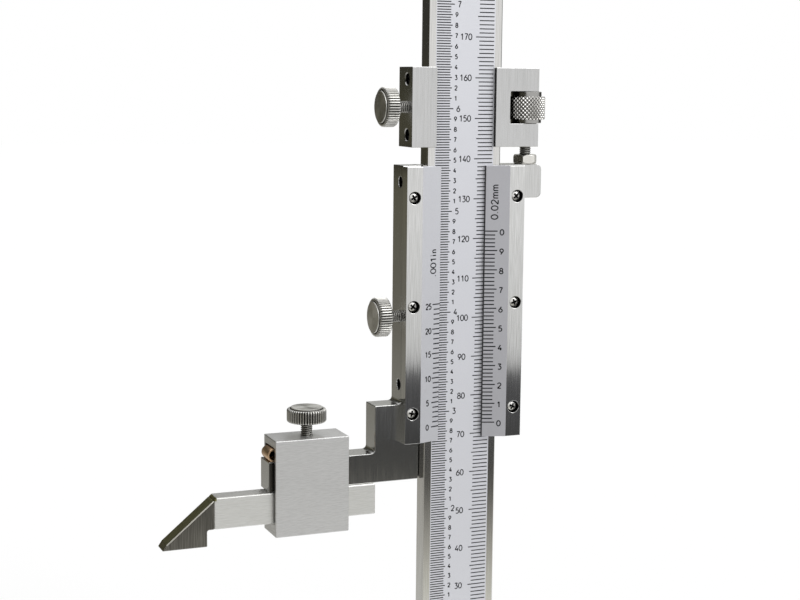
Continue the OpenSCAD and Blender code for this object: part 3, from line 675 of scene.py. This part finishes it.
# Gibs and their screws: steel strips, ground to a grey shine, that take up the play along the beam. Each
# is set by two blackened grub screws in the side.
strip_steel = turned_steel("ground_strip_steel", "#C0BEB9", "#A6A49F", groove=None, rough=(0.12, 0.16))
for strip in ("slider_gib", "carriage_gib"):
    finish_node(strip, strip_steel, edge=0.05)
for grub in ("slider_gib_screws", "carriage_gib_screws"):
    finish_node(grub, black_steel, edge=0.05)


# Clamp screws: turned steel heads with a straight knurl and a raised disc, on M3 threads that press
# the gibs against the beam and the shoe against the arm.
KNOB_DISC = 0.4
KNOB_BAND = 3.3
THREAD, THREAD_PITCH = 2.9, 0.5
THREAD_SUNK = 0.4


def thread(start, stop, diameter, pitch, columns=32):
    """A right-hand thread with closed, tapered ends: the radius falls by a triangle wave along the helix."""
    depth, rows_per_turn, steep, crest, crest_wear_and_shade = 0.46 * pitch, 8, 1.6, 0.4, 0.8
    rows = int((stop - start) / pitch * rows_per_turn) + 1
    axial = np.linspace(start, stop, rows)
    angle = np.arange(columns) / columns
    phase = (axial[:, None] / pitch - angle) % 1
    wave = np.clip(steep * np.abs(2 * phase - 1) - crest, 0, 1)
    end = np.minimum(axial - start, stop - axial)[:, None]
    radius = np.minimum(diameter / 2 - depth * wave, diameter / 2 - depth + end)
    nothing = np.zeros((1, columns))
    # The thread's roots are painted dark as their shade; its crests, bright from wear, are a little darker
    # too.
    return revolved(np.concatenate([[start], axial, [stop]]), np.vstack([nothing, radius, nothing]),
                    np.vstack([nothing, crest_wear_and_shade * (1 - wave), nothing]))


def knurled_head(diameter):
    """A profile of disc, groove, shoulder and round edges turned about Z, with straight cuts in its side.

    The real knurl has a cut every 0.5 mm: here it is every 0.7 mm, so that it shows."""
    ridges, depth, edge, bevel, shoulder = 46, 0.3, 0.5, 0.1, 0.95
    groove, groove_start, groove_stop, groove_rim = 0.12, 0.02, 0.14, 0.22
    neck, hollow, hollow_depth = 1.6, 1.2, 0.6
    r, disc, length = diameter / 2, diameter / 2 - shoulder, KNOB_DISC + KNOB_BAND
    notch = np.array([0, 0, 0, 0.5, 1, 1, 0.5])
    bend = np.radians(np.linspace(0, 90, 6))
    face = np.stack([np.zeros(7), np.linspace(0, disc - bevel, 7)], -1)
    step = np.array([(bevel, disc), (KNOB_DISC, disc), (KNOB_DISC + groove, disc + groove_start),
                     (KNOB_DISC + groove, disc + groove_stop), (KNOB_DISC, disc + groove_rim)])
    outer = np.stack([KNOB_DISC + edge * (1 - np.cos(bend)), r - edge + edge * np.sin(bend)], -1)
    side = np.stack([np.linspace(KNOB_DISC + edge, length - edge, 6)[1:-1], np.full(4, r)], -1)
    inner = np.stack([length - edge + edge * np.sin(bend), r - edge + edge * np.cos(bend)], -1)
    back = np.array([(length, neck), (length - hollow_depth, hollow), (length - hollow_depth, 0)])
    profile = np.vstack([face, step, outer, side, inner, back])
    # The bottoms of the cuts and the groove under the disc are painted dark as their shade.
    cut = np.clip((profile[:, 1] - (r - edge)) / edge, 0, 1)[:, None] ** 0.5 * np.tile(notch, ridges)
    dark = np.zeros(len(profile))
    dark[len(face) + 1:len(face) + 4] = 1
    return revolved(profile[:, 0], profile[:, 1:] - depth * cut, 1 - np.maximum(cut, dark[:, None]))


knob_steel = turned_steel("knurled_steel", "#E9E8E4", "#C7C6C1", groove="#161513", rough=(0.3, 0.38),
                          spread=0.72)
for node, body, axis in (("slider_clamp_screw", "slider_knob", (1, 0, 0)),
                         ("carriage_clamp_screw", "carriage_knob", (1, 0, 0)),
                         ("scriber_clamp_screw", "clamp_knob", (0, 0, -1))):
    low, high = corners(node)
    along = np.flatnonzero(axis)[0]
    size = high - low
    origin = (low + high) / 2 - np.array(axis) * size / 2
    shape = joined([knurled_head(size[along - 1]),
                    thread(KNOB_DISC + KNOB_BAND - THREAD_SUNK, size[along], THREAD, THREAD_PITCH)])
    knob = new_piece("knurled_" + node, aimed(shape, origin, axis), knob_steel, body)
    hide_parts(node)


# Fine-adjust carriage: a block of brushed stainless steel with lips that hook over the beam's edges and
# a milled window for the nut; the window's walls and the lips' inner edges are painted dark as their shade.
lip, lip_depth, window, window_half, skin = 8.0, 0.1, 11.9, 4.0, 0.03
low, high = corners("carriage_body")
middle = (low[2] + high[2]) / 2
# Boxes painted dark as shade: the window's walls and the inner edges of the two lips.
walls = [((window, low[1] - 1, middle - window_half - skin),
          (high[0] + 1, high[1] + 1, middle + window_half + skin)),
         ((-lip - skin, low[1] - 1, low[2]), (-lip + skin, lip_depth, high[2])),
         ((lip - skin, low[1] - 1, low[2]), (lip + skin, lip_depth, high[2]))]
carriage_steel = grained_steel("brushed_stainless_carriage", "#CCCCCC", "#BBBBBA", run="Z", width=0.16,
                               rough=(0.17, 0.21), spread=0.9, lean=0.012,
                               stains_and_shade=[(HOLLOW_SHADE, walls + screw_holes("carriage_gib_screws"))])
finish_node("carriage_body", carriage_steel, edge=0.09)


# Fine-adjust nut: turned steel with a diamond knurl between two plain collars. It runs on the rod, held
# endways in the carriage's window. The knurl's points are bright from handling, and its valleys and the
# collars are painted dark as their shade.
def diamond_nut(length, diameter, collar_d, bore):
    """A bored nut: along the knurl the radius falls to the deeper of two crossing triangle waves.

    The real knurl has a cut every 0.6 mm: here it is every 1 mm, so that it shows."""
    lower, upper, corner, chamfer, depth = 0.95, 1.25, 0.15, 0.25, 0.3
    ridges, columns_per_ridge, rows_per_ridge = 30, 10, 8
    collar_shade, polish, valley_shade = 0.45, 2.4, 0.2
    r, c, b = diameter / 2, collar_d / 2, bore / 2
    start, stop = lower, length - upper
    pitch = np.pi * diameter / ridges
    rows = np.linspace(start, stop, int((stop - start) / pitch * rows_per_ridge) + 1)
    column = np.arange(ridges * columns_per_ridge) / columns_per_ridge
    climb = rows[:, None] / pitch
    first, second = (np.abs(2 * ((column + sign * climb) % 1) - 1) for sign in (1, -1))
    cut = np.maximum(first, second)
    end = np.minimum(rows - start, stop - rows)[:, None]
    knurl = np.minimum(r - depth * cut, r - chamfer + end)
    below = np.array([(0, b), (0, c - corner), (corner, c), (start, c)])
    above = np.array([(stop, c), (length - corner, c), (length, c - corner), (length, b), (0, b)])
    plain = [np.ones((len(part), len(column))) for part in (below, above)]
    # The knurl's points are bright from handling; its valleys and the collars are painted dark as their shade.
    wear_and_shade = np.clip(polish * (1 - cut) - valley_shade, 0, 1)
    return revolved(np.concatenate([below[:, 0], rows, above[:, 0]]),
                    np.vstack([below[:, 1:] * plain[0], knurl, above[:, 1:] * plain[1]]),
                    np.vstack([collar_shade * plain[0], wear_and_shade, collar_shade * plain[1]]))


nut_steel = turned_steel("bright_knurled_steel", "#F4F3F0", "#DEDCD8", groove="#0C0B0A", rough=(0.2, 0.28))
low, high = corners("fine_adjust_nut")
middle = (low + high) / 2
shape = diamond_nut(high[2] - low[2], high[0] - low[0], collar_d=7.8, bore=THREAD + 0.1)
nut = new_piece("diamond_knurled_nut", aimed(shape, (middle[0], middle[1], low[2]), (0, 0, 1)), nut_steel,
                "fine_nut")
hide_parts("fine_adjust_nut")


# Fine-adjust rod: M3 steel studding screwed into the slider's ear and fixed there by a bright, chamfered
# hexagon nut, so that turning the knurled nut moves the slider.
low, high = corners("fine_adjust_rod")
middle = (low + high) / 2
shape = thread(0, high[2] - low[2], high[0] - low[0], THREAD_PITCH, columns=24)
rod = new_piece("threaded_rod", aimed(shape, (middle[0], middle[1], low[2]), (0, 0, 1)), knob_steel,
                "slider")
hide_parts("fine_adjust_rod")
bright_steel = turned_steel("turned_steel", "#E8E6E1", "#D2D0CA", groove=None, rough=(0.13, 0.2))
finish_node("rod_lock_nut", bright_steel, edge=0.08)


# Scriber clamp: a steel box, milled through and brushed crosswise to a pale satin, that holds the scriber
# against the arm. A folded strip of copper under its screw keeps the arm from being marked.
SHORT_GRAIN = 16
low, high = corners("scriber_clamp_box")
# Inside the box, the faces a little in from its outer faces are painted dark as their shade.
unshaded_rim = np.array([0.25, 0.65, 1.2])
box_steel = grained_steel("cross_brushed_stainless", "#E0E0E0", "#BCBCBB", run="X", width=0.11,
                          rough=(0.34, 0.44), spread=0.6, stretch=SHORT_GRAIN,
                          stains_and_shade=[(HOLLOW_SHADE, [(low + unshaded_rim, high - unshaded_rim)])])
finish_node("scriber_clamp_box", box_steel, edge=0.2)


def rolled_copper():
    """Soft copper strip, dulled brown, with rolling lines."""
    made, tree = empty_material("rolled_copper")
    lines = grain(tree, "Y", width=0.25)
    colour = add(tree, "Mix", {"data_type": "RGBA"}, {0: lines, 6: "#D2AA82", 7: "#FADAB4"})
    skin = add(tree, "BsdfPrincipled", {}, {"Base Color": colour.outputs[2], "Metallic": 1.0,
                                            "Roughness": 0.34})
    add(tree, "OutputMaterial", {}, {0: skin.outputs[0]})
    return made


finish_node("clamp_shoe", rolled_copper(), edge=0.12)


# Scriber: a brushed steel shank with a tip of ground carbide brazed to its end, dark, with fine
# upright lines from the wheel.
BRAZE = "#8C8862"
braze_length, braze_depth, top_skin = 0.66, 0.75, 0.02
low, high = corners("scriber_shank")
braze = [((low[0] - 1, low[1] - 1, high[2] - braze_depth),
          (low[0] + braze_length, high[1] + 1, high[2] - top_skin))]
shank_steel = grained_steel("fine_brushed_stainless", "#E6E6E4", "#CCCCC8", run="X", width=0.11,
                            rough=(0.36, 0.42), spread=0.6, stretch=SHORT_GRAIN, stains_and_shade=[(BRAZE, braze)])
finish_node("scriber_shank", shank_steel, edge=0.25)


def ground_carbide():
    """Carbide: grey with upright wheel lines on its sides, olive on the lapped slope, and a painted highlight
    on its edge.
    """
    slope_up, edge_front, edge_up = (0.4, 0.9), (-0.2, -0.25), (0.2, 0.25)
    relief_share, relief_depth = 0.15, 0.01
    made, tree = empty_material("ground_carbide")
    lines = grain(tree, "Z", width=0.18)
    side = add(tree, "Mix", {"data_type": "RGBA"}, {0: lines, 6: "#63615E", 7: "#96948F"})
    slope = add(tree, "Mix", {"data_type": "RGBA"}, {0: lines, 6: "#C9C793", 7: "#DEDCAA"})
    normal = add(tree, "SeparateXYZ", {}, {0: add(tree, "NewGeometry").outputs["Normal"]})
    upward = add(tree, "MapRange", {}, {0: normal.outputs[2], 1: slope_up[0], 2: slope_up[1]})
    colour = add(tree, "Mix", {"data_type": "RGBA"},
                 {0: upward.outputs[0], 6: side.outputs[2], 7: slope.outputs[2]})
    # Painted highlight: the faces that turn both forwards and up, along the front edge of the slope, are
    # painted near white.
    facing = add(tree, "MapRange", {}, {0: normal.outputs[1], 1: edge_front[0], 2: edge_front[1]})
    raised = add(tree, "MapRange", {}, {0: normal.outputs[2], 1: edge_up[0], 2: edge_up[1]})
    edge_highlight = add(tree, "Math", {"operation": "MULTIPLY"}, {0: facing.outputs[0], 1: raised.outputs[0]})
    colour = add(tree, "Mix", {"data_type": "RGBA"},
                 {0: edge_highlight.outputs[0], 6: colour.outputs[2], 7: "#F2F0E6"})
    relief = add(tree, "Bump", {}, {"Strength": relief_share, "Distance": relief_depth * MM,
                                    "Height": lines})
    skin = add(tree, "BsdfPrincipled", {}, {
        "Base Color": colour.outputs[2], "Metallic": 1.0, "Roughness": 0.28, "Anisotropic": 0.7,
        "Normal": relief.outputs[0], "Tangent": across_grain(tree, "Z")})
    add(tree, "OutputMaterial", {}, {0: skin.outputs[0]})
    return made


finish_node("scriber_tip", ground_carbide(), edge=0.22)


# Floor: a plain matt white sheet under the foot. The camera and the metal see it as white, and it keeps
# the gauge's soft shadow.
FLOOR_HALF = 4000
FLOOR_GLOW = 0.5
GLOW_LEVEL = 1.16


def stage_sheet(name, points, surface):
    """A sheet of the studio from a grid of points in millimetres; it isn't part of the object."""
    rows, columns = points.shape[:2]
    i, j = (v.ravel() for v in np.meshgrid(np.arange(rows - 1), np.arange(columns - 1), indexing="ij"))
    first = i * columns + j
    mesh = bpy.data.meshes.new(name)
    mesh.from_pydata((points.reshape(-1, 3) * MM).tolist(), [],
                     np.stack([first, first + 1, first + columns + 1, first + columns], -1).tolist())
    mesh.materials.append(surface)
    made = bpy.data.objects.new(name, mesh)
    bpy.context.scene.collection.objects.link(made)
    made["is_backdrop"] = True
    return made


def white_seen(tree):
    """1 for rays from the camera, a mirror or glass, which see the studio as plain white."""
    path = add(tree, "LightPath")
    seen = add(tree, "Math", {"operation": "MAXIMUM"},
               {0: path.outputs["Is Camera Ray"], 1: path.outputs["Is Glossy Ray"]})
    seen = add(tree, "Math", {"operation": "MAXIMUM"},
               {0: seen.outputs[0], 1: path.outputs["Is Transmission Ray"]})
    return seen.outputs[0]


def white_floor():
    """Matt white that glows just enough to read as white where no shadow falls."""
    made, tree = empty_material("white_floor")
    matt = add(tree, "BsdfDiffuse", {}, {0: "#F2F2F2"})
    glow = add(tree, "Emission", {}, {0: "#FFFFFF", 1: GLOW_LEVEL})
    share = add(tree, "Math", {"operation": "MULTIPLY"}, {0: white_seen(tree), 1: FLOOR_GLOW})
    mixed = add(tree, "MixShader", {}, {0: share.outputs[0], 1: matt.outputs[0], 2: glow.outputs[0]})
    add(tree, "OutputMaterial", {}, {0: mixed.outputs[0]})
    return made


corner = np.array([-FLOOR_HALF, FLOOR_HALF])
stage_sheet("floor", np.stack([*np.meshgrid(corner, corner), np.zeros((2, 2))], -1), white_floor())


# Studio: an even white tent, one large soft lamp high on the right, and dark cards around it that only
# the metal sees, as a photographer sets them to give polished edges their contrast.
def dark_card(name, points, stops):
    """A card that shows in reflections alone, its tone given at heights in millimetres."""
    surface, tree = empty_material(name)
    height = add(tree, "SeparateXYZ", {}, {0: add(tree, "TexCoord").outputs["Object"]}).outputs[2]
    share = add(tree, "MapRange", {}, {0: height, 2: stops[-1][0] * MM})
    ramp = add(tree, "ValToRGB", {}, {0: share.outputs[0]})
    while len(ramp.color_ramp.elements) < len(stops):
        ramp.color_ramp.elements.new(0.5)
    for element, (place, code) in zip(ramp.color_ramp.elements, stops):
        element.position = place / stops[-1][0]
        element.color = linear(code)
    glow = add(tree, "Emission", {}, {0: ramp.outputs[0]})
    add(tree, "OutputMaterial", {}, {0: glow.outputs[0]})
    made = stage_sheet(name, points, surface)
    made.visible_camera = made.visible_diffuse = made.visible_shadow = False
    made.visible_transmission = made.visible_volume_scatter = False


FRONT = np.array([0.38, -0.925])
CARD_HALF = 400
reach = CARD_HALF * np.array([-FRONT[1], FRONT[0]])
rows = [(distance * FRONT, height) for distance, height in ((120, 0.5), (330, 50), (345, 115))]
dark_card("dark_card_front", np.array([[(*(place - reach), height), (*(place + reach), height)]
                                       for place, height in rows]),
          [(0, "#FCFCF4"), (8, "#D6D5CC"), (13, "#BAB8B0"), (19, "#8F8D87"), (24, "#5A5956"),
           (30, "#40403F"), (38, "#565657"), (50, "#5A5A5C"), (52, "#848484"), (54, "#DADADA"),
           (66, "#EEEEEE"), (115, "#FCFCFC")])


def ring_card(start, stop, profile):
    """Carries a profile of (distance, height) around the object, between two angles from behind."""
    columns = 34
    turn = np.radians(np.linspace(start, stop, columns))
    distance, height = (np.array(profile)[:, i, None] * np.ones(columns) for i in (0, 1))
    return np.stack([-distance * np.sin(turn), distance * np.cos(turn), height], -1)


dark_card("dark_card_left", ring_card(-12, 157, [(130, 0.5), (470, 40), (470, 500)]),
          [(0, "#D2D2CE"), (17, "#AEACA6"), (25, "#96948C"), (46, "#7C7970"), (122, "#6B6859"),
           (134, "#605D4E"), (139, "#302F27"), (148, "#302F27"), (153, "#5A5748"), (176, "#4C4A3C"),
           (200, "#3B3A35"), (500, "#383732")])
dark_card("grey_card_back", ring_card(-50, -12, [(470, 0.5), (470, 400)]),
          [(0, "#C4C4C0"), (400, "#B4B4B0")])
dark_card("dark_card_right", ring_card(-95, -52, [(470, 0.5), (470, 400)]),
          [(0, "#5A5A58"), (400, "#4A4A48")])

TENT_LIGHT = 0.7
world = bpy.data.worlds.new("white_tent")
world.use_nodes = True
world.node_tree.nodes.clear()
strength = add(world.node_tree, "MapRange", {}, {0: white_seen(world.node_tree), 3: TENT_LIGHT, 4: 1.0})
tent = add(world.node_tree, "Background", {}, {0: "#FFFFFF", 1: strength.outputs[0]})
add(world.node_tree, "OutputWorld", {}, {0: tent.outputs[0]})
bpy.context.scene.world = world

LAMP_SIDE = Vector((0.68, -0.72, 0.9))
softbox = bpy.data.objects.new("softbox", bpy.data.lights.new("softbox", "SUN"))
softbox.data.angle = math.radians(40)
softbox.data.energy = 1.2
softbox.rotation_euler = LAMP_SIDE.to_track_quat("Z", "Y").to_euler()
bpy.context.scene.collection.objects.link(softbox)


# Camera: a long lens a little above the slider and to its left, looking slightly down. Its place was
# found from the graduations and edges in the photograph.
YAW, PITCH, ROLL = (math.radians(angle) for angle in (22.25, 7.96, 0.55))
CAMERA_PLACE = (-163.614, -358.702, 184.884)
FOCAL_PIXELS, FRAME_PIXELS, SENSOR = 1578.8, 800, 36
ahead = np.array([math.sin(YAW) * math.cos(PITCH), math.cos(YAW) * math.cos(PITCH), -math.sin(PITCH)])
level = np.array([math.cos(YAW), -math.sin(YAW), 0])
upward = np.cross(level, ahead)
right = math.cos(ROLL) * level + math.sin(ROLL) * upward
top = math.cos(ROLL) * upward - math.sin(ROLL) * level
camera = bpy.data.objects.new("camera", bpy.data.cameras.new("camera"))
camera.data.sensor_width = SENSOR
camera.data.lens = FOCAL_PIXELS / FRAME_PIXELS * SENSOR
camera.data.clip_start = 0.01
camera.matrix_world = Matrix([[right[i], top[i], -ahead[i], CAMERA_PLACE[i] * MM] for i in range(3)]
                             + [[0, 0, 0, 1]])
bpy.context.scene.collection.objects.link(camera)
bpy.context.scene.camera = camera
bpy.context.scene.view_settings.view_transform = "Standard"

size = {"cad": [list(corner) for corner in cad_bounds], "visual": [list(corner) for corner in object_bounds()]}
